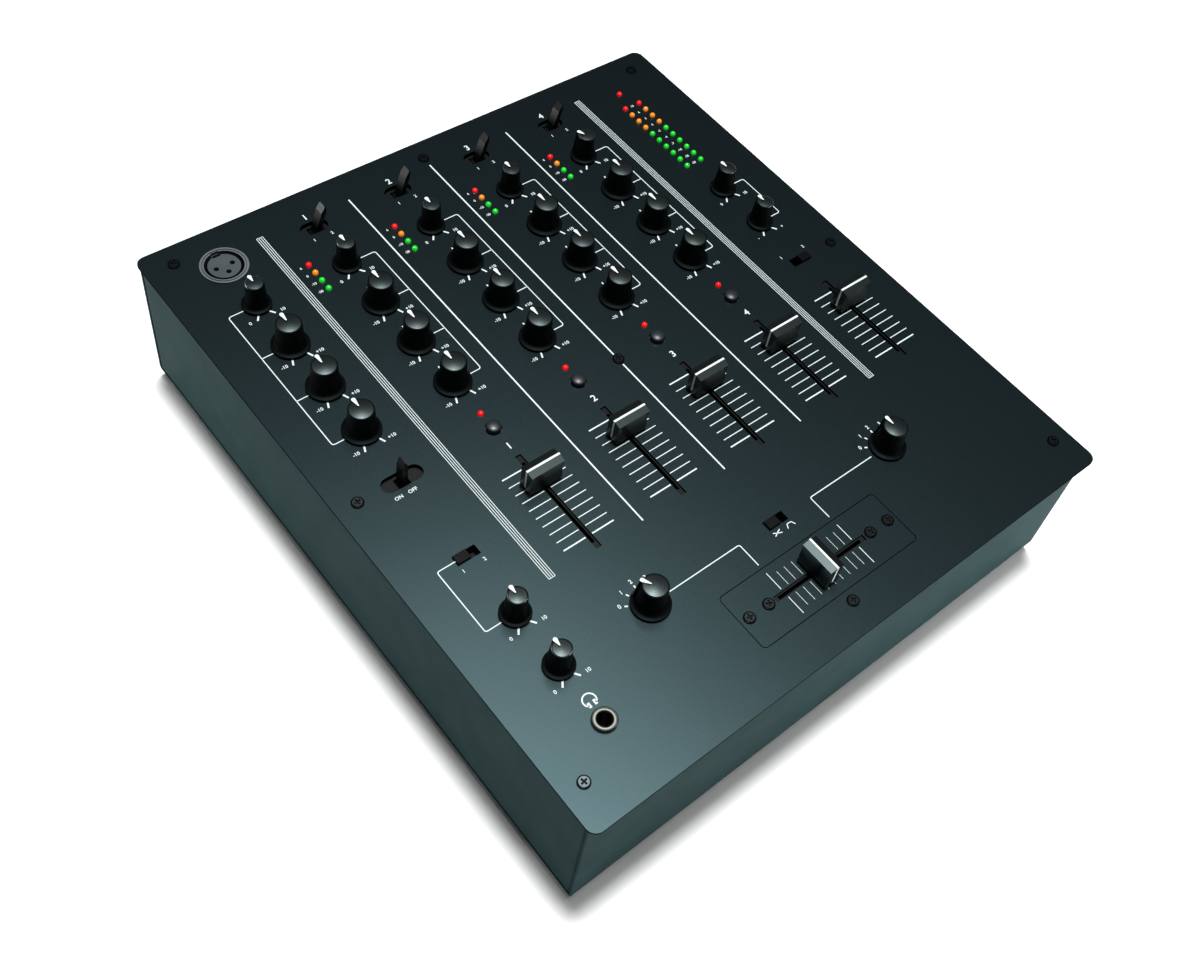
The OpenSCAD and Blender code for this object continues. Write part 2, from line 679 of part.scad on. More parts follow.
module control_board() {
    margin = 8;
    board_front = front_row_y - margin;
    board_rear = input_row_y + margin;
    board_half = master_x + 2 * margin;
    color("#2f5d3a") {
        on_panel(0, 0, -panel_t - board_drop - board_t) linear_extrude(board_t) difference() {
            translate([-board_half, board_front]) square([2 * board_half, board_rear - board_front]);
            translate([mic_x, input_row_y]) circle(d = mic_bezel_d + 4);
            translate(post_screw) circle(d = post_d + 3);
        }
        for (k = KNOBS) on_panel(k[1], k[2], -panel_t - board_drop) pot_body();
    }
}

// ---- Faders ----

// Cross-section of a cap: bevels fall from the ridge, and each face is hollowed for a finger
function cap_outline(inset) =
    let (w = cap_w / 2 - inset, h = cap_top - cap_gap - cap_bevel - inset, n = 6)
    concat(
        [for (i = [0:n]) let (t = i / n) [w - cap_waist * sin(180 * t), h * t]],
        [[ridge_flat / 2, h + cap_bevel], [-ridge_flat / 2, h + cap_bevel]],
        [for (i = [n:-1:0]) let (t = i / n) [-w + cap_waist * sin(180 * t), h * t]]);

fader_cavity_h = fader_body_h - 2 * fader_wall;
// A cap with its stem and carriage, travelling along y
module fader_cap() {
    carriage_w = fader_body_w - 2 * fader_wall - 2 * slide_gap;
    carriage_h = fader_cavity_h - 2 * slide_gap;
    carriage_top = -panel_t - fader_wall - slide_gap;
    block_h = 6;
    translate([0, 0, cap_gap]) difference() {
        rotate([90, 0, 90]) translate([0, 0, -cap_l / 2]) linear_extrude(cap_l) polygon(cap_outline(0));
        translate([0, 0, -eps]) rotate([90, 0, 90]) translate([0, 0, -cap_l / 2 + cap_wall])
            linear_extrude(cap_l - 2 * cap_wall) polygon(cap_outline(cap_wall));
    }
    translate([-cap_l / 2 - 0.12, -cap_line_w / 2, cap_gap + 1.5])
        difference() {
            cube([cap_l + 0.24, cap_line_w, cap_top - cap_gap - 1.5 + 0.12]);
            translate([cap_wall, -1, -1]) cube([cap_l + 0.24 - 2 * cap_wall, cap_line_w + 2,
                cap_top - cap_gap - 1.5 - cap_wall]);
        }
    translate([-stem_w / 2, -stem_w / 2 - 0.8, cap_top - block_h - cap_wall])
        cube([stem_w, stem_w + 1.6, block_h]);
    translate([-stem_t / 2, -stem_w / 2, carriage_top - carriage_h + eps])
        cube([stem_t, stem_w, cap_top - cap_wall - carriage_top + carriage_h - 1]);
    translate([-carriage_w / 2, -stem_w, carriage_top - carriage_h])
        cube([carriage_w, 2 * stem_w, carriage_h]);
}

module line_fader(f) {
    color("#202325") on_panel(f[1], f[2] + fader_rest) fader_cap();
}

module crossfader() {
    color("#202325") on_panel(-cross_rest, cross_row_y) rotate(90) fader_cap();
}

fader_body_l = fader_travel + 2 * stem_w + 2 * fader_wall + 4;
// A fader's body under the panel, open at the top for the stem
module fader_body(l) {
    slot_l = fader_travel + stem_w + 3;
    difference() {
        translate([-fader_body_w / 2, -l / 2, -fader_body_h]) cube([fader_body_w, l, fader_body_h]);
        translate([-fader_body_w / 2 + fader_wall, -fader_body_l / 2 + fader_wall, -fader_body_h + fader_wall])
            cube([fader_body_w - 2 * fader_wall, fader_body_l - 2 * fader_wall, fader_cavity_h]);
        translate([-stem_t / 2 - slide_gap, -slot_l / 2, -fader_wall - 1])
            cube([stem_t + 2 * slide_gap, slot_l, fader_wall + 2]);
    }
}

module fader_bodies() {
    screw_margin = 4;
    cross_l = 2 * (cross_screw_x + screw_margin);
    color("#6a6f70") {
        for (f = FADERS) on_panel(f[1], f[2], -panel_t) fader_body(fader_slot_l + 10);
        difference() {
            on_panel(0, cross_row_y, -panel_t) rotate(90) fader_body(cross_l);
            for (x = [-cross_screw_x, cross_screw_x])
                on_panel(x, cross_row_y, -screw_l) cylinder(d = screw_d, h = screw_l);
        }
    }
}

// ---- Levers, slide switches and buttons ----

barrel_l = lever_slot_w - 1.2;
// A lever that turns about a barrel along y, upright
module lever_shape() {
    tip = 0.5;
    wedge_h = 2.6;
    rotate([90, 0, 0]) translate([0, 0, -barrel_l / 2]) cylinder(d = barrel_d, h = barrel_l);
    intersection() {
        translate([0, lever_w / 2, 0]) rotate([90, 0, 0]) linear_extrude(lever_w) polygon([
            [-lever_t / 2, 0], [lever_t / 2, 0], [lever_t / 2 - 0.3, pivot_depth + lever_h - wedge_h],
            [tip / 2 + 0.2, pivot_depth + lever_h], [-tip / 2 + 0.2, pivot_depth + lever_h],
            [-lever_t / 2 + 0.3, pivot_depth + lever_h - 1.6 * wedge_h]]);
        rotate([90, 0, 90]) translate([0, 0, -lever_t]) linear_extrude(2 * lever_t) {
            translate([-lever_w / 2, 0]) square([lever_w, pivot_depth + lever_h - 1]);
            translate([-lever_w / 2 + 1, 0]) square([lever_w - 2, pivot_depth + lever_h]);
            for (s = [-1, 1]) translate([s * (lever_w / 2 - 1), pivot_depth + lever_h - 1]) circle(1);
        }
    }
}

module lever(l) {
    color("#1b1d1f") on_panel(l[1], l[2], -pivot_depth) rotate([0, l[4], 0]) lever_shape();
}

lever_body_drop = 1.4;
// The body that a lever turns in, standing on the circuit board
module lever_body(slot_l) {
    w = lever_slot_w + 0.8;
    well_x = barrel_d + 4 * slide_gap;
    well_depth = pivot_depth + barrel_d / 2 + slide_gap - panel_t - lever_body_drop;
    top = -panel_t - lever_body_drop;
    difference() {
        translate([-slot_l / 2, -w / 2, -panel_t - board_drop])
            cube([slot_l, w, board_drop - lever_body_drop]);
        translate([-well_x / 2, -lever_w / 2 - slide_gap, top - well_depth])
            cube([well_x, lever_w + 2 * slide_gap, well_depth + 1]);
        translate([0, 0, -pivot_depth]) rotate([90, 0, 0]) translate([0, 0, -barrel_l / 2 - slide_gap / 2])
            cylinder(d = barrel_d + 2 * running_gap, h = barrel_l + slide_gap);
    }
}

slide_button_w = slide_slot_w - 2 * slide_gap;
slide_depth = 5;
slide_throw = slide_slot_l - slide_l - 2 * slide_gap;
module slide_button() {
    ribs = 5;
    rib_pitch = (slide_l - 0.8) / ribs;
    difference() {
        translate([-slide_l / 2, -slide_button_w / 2, -panel_t - slide_depth + slide_gap])
            cube([slide_l, slide_button_w, slide_depth - slide_gap + panel_t + slide_h]);
        for (i = [0:ribs]) translate([(i - ribs / 2) * rib_pitch, 0, slide_h])
            cube([rib_pitch * 0.4, slide_slot_w, 0.8], center = true);
    }
}

module slide_switch(s) {
    color("#232627") on_panel(s[1] + s[3] * slide_throw / 2, s[2]) slide_button();
}

module slide_body() {
    wall = 1.2;
    difference() {
        translate([-slide_slot_l / 2 - wall, -slide_slot_w / 2 - wall, -board_drop])
            cube([slide_slot_l + 2 * wall, slide_slot_w + 2 * wall, board_drop]);
        translate([-slide_slot_l / 2, -slide_slot_w / 2, -slide_depth])
            cube([slide_slot_l, slide_slot_w, slide_depth + 1]);
    }
}

button_stem_r = 1.6;
tact_h = 5;
module cue_button(b) {
    flange_t = 1;
    flange_r = button_hole_d / 2 + 0.6;
    dome_h = 1.3;
    r = button_d / 2;
    stem_end = -panel_t - board_drop + 1.5 + button_travel;
    color("#2a2e30") on_panel(b[1], b[2]) {
        rotate_extrude() polygon(concat(
            [[0, -panel_t - flange_t - slide_gap], [r, -panel_t - flange_t - slide_gap], [r, button_h - dome_h]],
            [for (a = [15:15:90]) [r * cos(a), button_h - dome_h + dome_h * sin(a)]]));
        translate([0, 0, -panel_t - slide_gap - flange_t]) cylinder(r = flange_r, h = flange_t);
        translate([0, 0, stem_end]) cylinder(r = button_stem_r, h = -stem_end);
    }
}

module button_body() {
    side = 7;
    difference() {
        translate([-side / 2, -side / 2, 0]) cube([side, side, tact_h]);
        translate([0, 0, 1]) cylinder(r = button_stem_r + running_gap, h = tact_h);
    }
}

module switch_bodies() {
    color("#303436") {
        for (l = LEVERS) on_panel(l[1], l[2]) lever_body(l[3]);
        for (s = SLIDES) on_panel(s[1], s[2], -panel_t) slide_body();
        for (b = BUTTONS) on_panel(b[1], b[2], -panel_t - board_drop) button_body();
    }
}

// ---- Sockets ----

mic_body_d = mic_bezel_d - 2.2;
module microphone_socket() {
    groove_w = 0.6;
    groove_r = mic_bezel_d / 2 - 0.9;
    floor_t = 2;
    latch_w = 4;
    on_panel(mic_x, input_row_y) color("#5b6366") difference() {
        union() {
            cylinder(d = mic_bezel_d, h = mic_bezel_h);
            translate([0, 0, -mic_depth]) cylinder(d = mic_body_d, h = mic_depth + eps);
        }
        rotate_extrude() translate([groove_r - groove_w, mic_bezel_h - 0.5]) square([groove_w, 1]);
        difference() {
            translate([0, 0, -mic_depth + floor_t]) cylinder(d = mic_sleeve_d, h = mic_depth + mic_bezel_h);
            translate([0, 0, -mic_depth]) cylinder(d = mic_insert_d, h = mic_depth + mic_bezel_h - 0.6);
        }
        for (a = [0, 180, 270]) rotate(a) translate([mic_contact_r, 0, -mic_depth + floor_t])
            cylinder(d = mic_contact_d, h = mic_depth + mic_bezel_h);
        translate([-latch_w / 2, mic_insert_d / 2 - 1, mic_bezel_h - 1.8]) cube([latch_w, 3, 3]);
    }
}

// A jack socket whose mouth is at z = 0 of the panel or wall and whose body reaches to -z
module jack_socket(wall_t) {
    body_l = jack_bore_l - 2;
    difference() {
        union() {
            rotate_extrude() polygon([[0, 0], [jack_nut_d / 2, 0], [jack_nut_d / 2, jack_nut_h - 0.5],
                [jack_nut_d / 2 - 0.5, jack_nut_h], [0, jack_nut_h]]);
            translate([0, 0, -wall_t - eps]) cylinder(d = jack_bush_d, h = wall_t + 2 * eps);
            translate([-jack_body_w / 2, -jack_body_w / 2, -wall_t - body_l])
                cube([jack_body_w, jack_body_w, body_l]);
        }
        translate([0, 0, jack_nut_h - jack_bore_l]) cylinder(d = jack_bore_d, h = jack_bore_l + 1);
        translate([0, 0, jack_nut_h - 0.3]) cylinder(d = jack_bush_d, h = 1);
    }
}

module jack_sockets() {
    color("#26292b") {
        on_panel(mic_x, cross_row_y) jack_socket(panel_t);
        translate([jack_rear_x, front_y + rear_wall_y, rear_z]) rotate([-90, 0, 0]) jack_socket(sheet_t);
    }
}

// A phono socket held in the rear wall by its collar outside and its nut inside, pointing along +z from the wall
module phono_socket() {
    collar_t = 1.4;
    tail_l = 6;
    nut_d = phono_d + 3;
    nut_t = 2.4;
    bore_l = 8;
    difference() {
        union() {
            translate([0, 0, -sheet_t - tail_l]) cylinder(d = phono_d, h = sheet_t + tail_l + phono_l - 0.4);
            translate([0, 0, phono_l - 0.4]) cylinder(d1 = phono_d, d2 = phono_d - 0.8, h = 0.4);
            cylinder(d = phono_collar_d, h = collar_t);
            translate([0, 0, -sheet_t - nut_t]) cylinder(d = nut_d, h = nut_t, $fn = 6);
        }
        translate([0, 0, phono_l - bore_l]) cylinder(d = phono_bore_d, h = bore_l + 1);
        difference() {
            translate([0, 0, phono_l - 0.6]) cylinder(d = phono_d - 1.4, h = 1);
            translate([0, 0, phono_l - 1]) cylinder(d = phono_bore_d + 1, h = 2);
        }
    }
}

// A screw post with a thumb nut for the record decks' earth wires
module ground_post() {
    nut_h = 5;
    translate([0, 0, -sheet_t - 3]) cylinder(d = screw_d, h = sheet_t + 3 + nut_h + 1.5);
    difference() {
        cylinder(d = ground_post_d, h = nut_h);
        for (i = [0:11]) rotate(i * 30) translate([ground_post_d / 2 + 0.3, 0, -1]) cylinder(d = 1.4, h = nut_h + 2);
    }
    translate([0, 0, -sheet_t - 2]) cylinder(d = screw_d + 3, h = 2, $fn = 6);
}

module phono_sockets() {
    color("#c9c9c4") {
        for (p = phono_places) translate([p[0], front_y + rear_wall_y, p[1]]) rotate([-90, 0, 0]) phono_socket();
        for (x = ground_post_x)
            translate([x, front_y + rear_wall_y, ground_post_z]) rotate([-90, 0, 0]) ground_post();
    }
}

// A moulded tube with an outer flange and a closed back, its mouth at z = 0 of the rear wall
module moulded_well(w, h, depth) {
    difference() {
        union() {
            translate([-w / 2 - moulding_t, -h / 2 - moulding_t, -depth - moulding_t])
                cube([w + 2 * moulding_t, h + 2 * moulding_t, depth + moulding_t + eps]);
            linear_extrude(flange_t) rounded_rect(w + 2 * moulding_t + 2 * flange, h + 2 * moulding_t + 2 * flange, 2);
        }
        translate([-w / 2, -h / 2, -depth]) cube([w, h, depth + flange_t + 1]);
    }
}

module mains_inlet() {
    blade_w = 2;
    blade_h = 4;
    blade_pitch = 7;
    blade_l = inlet_depth - 3;
    rise = 1.2;
    moulded_well(inlet_w, inlet_h, inlet_depth);
    for (s = [-1, 1]) translate([s * blade_pitch - blade_w / 2, -rise - blade_h / 2, -inlet_depth - eps])
        cube([blade_w, blade_h, blade_l]);
    translate([-blade_w / 2, rise - blade_h / 2, -inlet_depth - eps]) cube([blade_w, blade_h, blade_l]);
}

rocker_pivot = 1.5;
rocker_barrel_d = 3;
module rocker_frame() {
    depth = 9;
    difference() {
        moulded_well(rocker_w + 2 * slide_gap, rocker_h + 2 * slide_gap, depth);
        translate([-rocker_w / 2 - 1, 0, -rocker_pivot]) rotate([0, 90, 0])
            cylinder(d = rocker_barrel_d + 2 * running_gap, h = rocker_w + 2);
    }
}

module usb_socket() {
    depth = 14;
    wall = 0.8;
    difference() {
        translate([-usb_w / 2, -usb_h / 2, -depth]) cube([usb_w, usb_h, depth + 0.6]);
        translate([0, 0, -depth + 2]) linear_extrude(depth) difference() {
            square([usb_w - 2 * wall, usb_h - 2 * wall], center = true);
            square([usb_w - 6.4, usb_h - 7.6], center = true);
            for (s = [-1, 1]) translate([s * usb_w / 2, usb_h / 2]) rotate(45) square(4.4, center = true);
        }
    }
    translate([-usb_w / 2 - 1.5, -usb_h / 2 - 1.5, -sheet_t - 1]) difference() {
        cube([usb_w + 3, usb_h + 3, 1]);
        translate([2.5, 2.5, -1]) cube([usb_w - 2, usb_h - 2, 3]);
    }
}

module rear_mouldings() {
    color("#1d1f20") translate([0, front_y + rear_wall_y, rear_z]) {
        translate([inlet_x, 0, 0]) rotate([-90, 0, 0]) mains_inlet();
        translate([rocker_x, 0, 0]) rotate([-90, 0, 0]) rocker_frame();
        translate([usb_x, 0, 0]) rotate([-90, 0, 0]) usb_socket();
    }
}

module power_rocker() {
    body_t = 3.6;
    half = rocker_h / 2;
    lift = half * tan(rocker_tilt);
    color("#141516") translate([rocker_x, front_y + rear_wall_y, rear_z]) rotate([-90, 0, 0])
        translate([0, 0, -rocker_pivot]) rotate([-rocker_tilt, 0, 0]) {
            rotate([90, 0, 90]) translate([0, 0, -rocker_w / 2]) linear_extrude(rocker_w) polygon([
                [-half + 0.6, -1], [half - 0.6, -1], [half - 0.6, lift + 2.4], [0, 2.2], [-half + 0.6, lift + 2.4]]);
            translate([-rocker_w / 2 - 0.8, 0, 0]) rotate([0, 90, 0])
                cylinder(d = rocker_barrel_d, h = rocker_w + 1.6);
        }
}

// ---- Assembly ----

top_panel();
housing();
crossfader_plate();
panel_screws();
microphone_socket();
jack_sockets();
lights_red();
lights_amber();
lights_green();
feet();
control_board();
fader_bodies();
switch_bodies();
phono_sockets();
rear_mouldings();
for (k = KNOBS) knob(k);
for (l = LEVERS) lever(l);
for (s = SLIDES) slide_switch(s);
for (b = BUTTONS) cue_button(b);
for (f = FADERS) line_fader(f);
crossfader();
power_rocker();
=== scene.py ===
import json
import math

import bmesh
import bpy
from mathutils import Matrix, Vector


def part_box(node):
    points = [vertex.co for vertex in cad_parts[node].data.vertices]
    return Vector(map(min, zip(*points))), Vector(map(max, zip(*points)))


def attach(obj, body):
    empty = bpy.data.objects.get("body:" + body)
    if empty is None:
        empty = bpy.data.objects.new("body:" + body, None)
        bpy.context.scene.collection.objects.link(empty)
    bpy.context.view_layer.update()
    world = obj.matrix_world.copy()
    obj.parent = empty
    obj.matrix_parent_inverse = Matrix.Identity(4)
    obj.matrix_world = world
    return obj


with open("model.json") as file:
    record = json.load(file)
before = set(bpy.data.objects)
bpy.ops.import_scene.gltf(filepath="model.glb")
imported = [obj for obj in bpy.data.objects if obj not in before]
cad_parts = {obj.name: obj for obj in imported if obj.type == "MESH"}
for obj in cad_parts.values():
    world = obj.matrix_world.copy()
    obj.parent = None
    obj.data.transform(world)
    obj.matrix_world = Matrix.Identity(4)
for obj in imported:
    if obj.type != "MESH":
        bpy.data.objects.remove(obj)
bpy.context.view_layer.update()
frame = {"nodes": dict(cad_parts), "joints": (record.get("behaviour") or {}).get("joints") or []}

nodes = frame["nodes"]

# Lengths below are in millimetres, in the frame's own axes, unless a name ends in _m.
MM = 0.001


def box_mm(node):
    low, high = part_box(node)
    return low / MM, high / MM


def centre_mm(node):
    low, high = box_mm(node)
    return (low + high) / 2


def row(node):
    """How far a node's middle is from the panel's front edge."""
    return centre_mm(node).y - FRONT_Y


panel_low, panel_high = box_mm("top_panel")
FRONT_Y = panel_low.y
TOP_Z = panel_high.z
REAR_WALL_Y = box_mm("housing")[1].y
COLUMNS = [centre_mm(f"channel_fader_{i}").x for i in range(1, 5)]
MASTER_X = centre_mm("master_fader").x
MIC_X = centre_mm("microphone_socket").x
GAIN_Y, TREBLE_Y, MID_Y, BASS_Y = [row(f"{kind}_knob_1") for kind in ("gain", "treble", "mid", "bass")]
MIDDLE_Y = row("mono_switch")
FADER_Y = row("cue_switch")
CUE_MIX_Y, CUE_LEVEL_Y = row("cue_mix_knob"), row("cue_level_knob")
ASSIGN_X, ASSIGN_Y = centre_mm("assign_knob_right").x, row("assign_knob_right")
PLATE_Y = row("crossfader_plate")
REAR_ROW_Z = centre_mm("rear_mouldings").z
# A face or point this near a plane counts as lying on it. A face points where this much of its normal does.
NEAR = 0.05
FACING = 0.9


# ---- Materials ----

# Most of a noise's values lie between these
NOISE_LOW, NOISE_HIGH = 0.3, 0.7


def new_material(name):
    material = bpy.data.materials.new(name)
    material.use_nodes = True
    tree = material.node_tree
    return material, tree, tree.nodes["Principled BSDF"]


def noise(tree, scale, detail=3.0):
    """Noise whose features are about 1 / scale metres, fixed to the piece."""
    coords = tree.nodes.new("ShaderNodeTexCoord")
    texture = tree.nodes.new("ShaderNodeTexNoise")
    texture.inputs["Scale"].default_value = scale
    texture.inputs["Detail"].default_value = detail
    tree.links.new(coords.outputs["Object"], texture.inputs["Vector"])
    return texture.outputs["Fac"]


def spread(tree, value, low, high):
    """Maps the middle of a noise to the range from low to high."""
    ranged = tree.nodes.new("ShaderNodeMapRange")
    ranged.inputs["From Min"].default_value = NOISE_LOW
    ranged.inputs["From Max"].default_value = NOISE_HIGH
    ranged.inputs["To Min"].default_value = low
    ranged.inputs["To Max"].default_value = high
    tree.links.new(value, ranged.inputs["Value"])
    return ranged.outputs["Result"]


def two_tone(tree, value, dark, light):
    ramp = tree.nodes.new("ShaderNodeValToRGB")
    ramp.color_ramp.elements[0].position = NOISE_LOW
    ramp.color_ramp.elements[1].position = NOISE_HIGH
    ramp.color_ramp.elements[0].color = (*dark, 1)
    ramp.color_ramp.elements[1].color = (*light, 1)
    tree.links.new(value, ramp.inputs["Fac"])
    return ramp.outputs["Color"]


def surface(name, color, rough, grain, depth, metallic=0.0, vary=0.12, tint=None, ior=1.5):
    """A finish with its own grain: grain is the features' size and depth their height, in millimetres."""
    cloud_scale, cloud_detail = 55, 5
    rough_spread = 0.05
    material, tree, shader = new_material(name)
    cloudy = noise(tree, cloud_scale, cloud_detail)
    fine = noise(tree, 1 / (grain * MM))
    dark = [c * (1 - vary) for c in color]
    light = [c * (1 + vary) for c in color]
    tree.links.new(two_tone(tree, cloudy, dark, light), shader.inputs["Base Color"])
    tree.links.new(spread(tree, fine, rough - rough_spread, rough + rough_spread), shader.inputs["Roughness"])
    bump = tree.nodes.new("ShaderNodeBump")
    bump.inputs["Strength"].default_value = 0.6
    bump.inputs["Distance"].default_value = depth * MM
    tree.links.new(fine, bump.inputs["Height"])
    tree.links.new(bump.outputs["Normal"], shader.inputs["Normal"])
    shader.inputs["Metallic"].default_value = metallic
    shader.inputs["IOR"].default_value = ior
    if tint:
        shader.inputs["Specular Tint"].default_value = (*tint, 1)
    return material


def radius_of(tree, kind, centre, scale):
    """Distance from the upright line through centre, times scale, in one of the piece's own coordinates."""
    coords = tree.nodes.new("ShaderNodeTexCoord")
    shift = tree.nodes.new("ShaderNodeVectorMath")
    shift.operation = "SUBTRACT"
    shift.inputs[1].default_value = (*centre, 0)
    flat = tree.nodes.new("ShaderNodeVectorMath")
    flat.operation = "MULTIPLY"
    flat.inputs[1].default_value = (scale, scale, 0)
    length = tree.nodes.new("ShaderNodeVectorMath")
    length.operation = "LENGTH"
    tree.links.new(coords.outputs[kind], shift.inputs[0])
    tree.links.new(shift.outputs["Vector"], flat.inputs[0])
    tree.links.new(flat.outputs["Vector"], length.inputs[0])
    return length.outputs["Value"]


# The radius of a knob's crown as a share of the skirt's
CROWN_SHARE = 0.65


def crown(name, base, rise):
    """The finish base with a soft swell about a knob's middle, rise in millimetres."""
    material = base.copy()
    material.name = name
    tree = material.node_tree
    reach = radius_of(tree, "Generated", (0.5, 0.5), 2 / CROWN_SHARE)
    square = tree.nodes.new("ShaderNodeMath")
    square.operation = "MULTIPLY"
    tree.links.new(reach, square.inputs[0])
    tree.links.new(reach, square.inputs[1])
    swell = tree.nodes.new("ShaderNodeBump")
    swell.invert = True
    swell.inputs["Distance"].default_value = rise * MM
    tree.links.new(square.outputs["Value"], swell.inputs["Height"])
    grain = next(n for n in tree.nodes if n.type == "BUMP" and n != swell)
    tree.links.new(swell.outputs["Normal"], grain.inputs["Normal"])
    return material


def bevelled_ring(name, base, centre, inner, outer):
    """A metal ring, in millimetres, with painted light and shade for a bevel: painted shade in its hole, a
    painted highlight half way out and painted shade at its rim.
    """
    material = base.copy()
    material.name = name
    tree = material.node_tree
    shader = tree.nodes["Principled BSDF"]
    ramp = tree.nodes.new("ShaderNodeValToRGB")
    points = ramp.color_ramp.elements
    points[0].position, points[0].color = inner / outer, (0.004, 0.004, 0.004, 1)
    points[1].position, points[1].color = inner / outer + 0.04, (0.16, 0.16, 0.14, 1)
    bright = points.new(0.5 + 0.5 * inner / outer)
    bright.color = (0.22, 0.25, 0.215, 1)
    points.new(1).color = (0.05, 0.055, 0.055, 1)
    reach = radius_of(tree, "Object", [c * MM for c in centre], 1 / (outer * MM))
    tree.links.new(reach, ramp.inputs["Fac"])
    tree.links.new(ramp.outputs["Color"], shader.inputs["Base Color"])
    return material


def ringed(name, base, centres, edge, inside, outside):
    """The finish base, with one colour within edge millimetres of any centre and another beyond.

    The distances are scaled so that the edge falls on the middle of the ramp.
    """
    material = base.copy()
    material.name = name
    tree = material.node_tree
    nearest = None
    for centre in centres:
        reach = radius_of(tree, "Object", [c * MM for c in centre], 0.5 / (edge * MM))
        if nearest:
            least = tree.nodes.new("ShaderNodeMath")
            least.operation = "MINIMUM"
            tree.links.new(nearest, least.inputs[0])
            tree.links.new(reach, least.inputs[1])
            reach = least.outputs["Value"]
        nearest = reach
    ramp = tree.nodes.new("ShaderNodeValToRGB")
    points = ramp.color_ramp.elements
    points[0].position, points[0].color = 0.48, (*inside, 1)
    points[1].position, points[1].color = 0.52, (*outside, 1)
    tree.links.new(nearest, ramp.inputs["Fac"])
    tree.links.new(ramp.outputs["Color"], tree.nodes["Principled BSDF"].inputs["Base Color"])
    return material


def light_lens(name, color, glow):
    """A lit lens: slightly cloudy resin that shines."""
    material, tree, shader = new_material(name)
    shade = two_tone(tree, noise(tree, 900), [c * 0.85 for c in color], color)
    tree.links.new(shade, shader.inputs["Base Color"])
    tree.links.new(shade, shader.inputs["Emission Color"])
    shader.inputs["Emission Strength"].default_value = glow
    shader.inputs["Roughness"].default_value = 0.18
    return material


PAINT_TINT = (0.56, 0.92, 0.98)
CAP_TINT = (0.76, 0.97, 0.97)
# Each finish: colour, roughness, and the size and height of its grain in millimetres
M = {
    "panel": surface("panel_paint", (0.0007, 0.0012, 0.0021), 0.31, 0.35, 0.012, tint=PAINT_TINT, ior=1.63),
    "housing": surface("housing_paint", (0.020, 0.041, 0.042), 0.38, 0.35, 0.012, tint=PAINT_TINT, ior=1.03),
    "knob": surface("knob_plastic", (0.0014, 0.0018, 0.0021), 0.50, 0.12, 0.004, tint=CAP_TINT, ior=1.13),
    "knob_top": surface(
        "knob_top_plastic", (0.0018, 0.0022, 0.0026), 0.40, 0.12, 0.003, tint=CAP_TINT, ior=1.62),
    "cap": surface("cap_plastic", (0.0024, 0.0027, 0.0030), 0.36, 0.12, 0.004, tint=CAP_TINT),
    "lever": surface("lever_plastic", (0.0020, 0.0022, 0.0024), 0.36, 0.15, 0.004, ior=1.3),
    "button": surface("button_plastic", (0.012, 0.015, 0.017), 0.38, 0.12, 0.005),
    "slide": surface("slide_plastic", (0.003, 0.0036, 0.004), 0.42, 0.15, 0.008, ior=1.2),
    "screw": surface("black_oxide", (0.12, 0.14, 0.14), 0.22, 0.2, 0.004, metallic=1.0),
    # Painted shade for hollows such as the screws' crosses.
    "recess": surface("recess_dark", (0.0015, 0.0018, 0.0020), 0.6, 0.2, 0.006, ior=1.2),
    # Painted shade: near black for the shade in the gaps at sheet edges.
    "edge": surface("painted_edge_shade", (0.0005, 0.0006, 0.0007), 0.8, 0.2, 0.004, ior=1.02),
    "socket": surface("socket_metal", (0.060, 0.075, 0.082), 0.40, 0.25, 0.010, metallic=0.35),
    "ring": surface("socket_ring", (0.20, 0.235, 0.245), 0.32, 0.25, 0.006, metallic=0.6),
    "jack": surface("jack_moulding", (0.008, 0.009, 0.010), 0.42, 0.2, 0.008),
    "nickel": surface("nickel_plate", (0.72, 0.71, 0.67), 0.22, 0.3, 0.003, metallic=1.0, vary=0.05),
    # Painted shade: fader and switch bodies are near black so that they read as the shade in the panel's
    # slots.
    "slot_shade_steel": surface("steel_dark_as_slot_shade", (0.0022, 0.0026, 0.0026), 0.5, 0.3, 0.006, ior=1.25),
    "ink": surface("screen_print", (0.62, 0.71, 0.71), 0.5, 0.25, 0.004, vary=0.04),
    "white": surface("pointer_white", (0.66, 0.73, 0.72), 0.42, 0.2, 0.004, vary=0.04),
    "foot": surface("foot_rubber", (0.010, 0.010, 0.010), 0.78, 0.5, 0.03),
    "board": surface("board_lacquer", (0.010, 0.060, 0.022), 0.35, 0.6, 0.010),
    "moulding": surface("socket_moulding", (0.008, 0.008, 0.009), 0.46, 0.25, 0.012),
    "red_ring": surface("phono_red", (0.50, 0.02, 0.02), 0.42, 0.3, 0.005),
    "pale_ring": surface("phono_white", (0.70, 0.70, 0.67), 0.42, 0.3, 0.005),
    "light_red": light_lens("lens_red", (0.80, 0.010, 0.012), 0.40),
    "light_amber": light_lens("lens_amber", (0.80, 0.23, 0.015), 0.42),
    "light_green": light_lens("lens_green", (0.010, 0.55, 0.025), 0.45),
}

M["crown"] = crown("knob_crown", M["knob_top"], rise=2.1)


def material_for(node):
    fixed = {
        "top_panel": "panel", "crossfader_plate": "panel", "housing": "housing", "panel_screws": "screw",
        "microphone_socket": "socket", "jack_sockets": "jack", "lights_red": "light_red",
        "lights_amber": "light_amber", "lights_green": "light_green", "feet": "foot",
        "control_board": "board", "fader_bodies": "slot_shade_steel", "switch_bodies": "slot_shade_steel",
        "phono_sockets": "nickel", "rear_mouldings": "moulding", "power_rocker": "moulding"}
    kinds = {"knob": "knob", "fader": "cap", "lever": "lever", "switch": "slide", "button": "button"}
    if node in fixed:
        return M[fixed[node]]
    return M[next(kinds[k] for k in kinds if k in node)]


for name, node in nodes.items():
    node.data.materials.clear()
    node.data.materials.append(material_for(name))
    node.data.shade_smooth()
    node.data.set_sharp_from_angle(angle=math.radians(32))


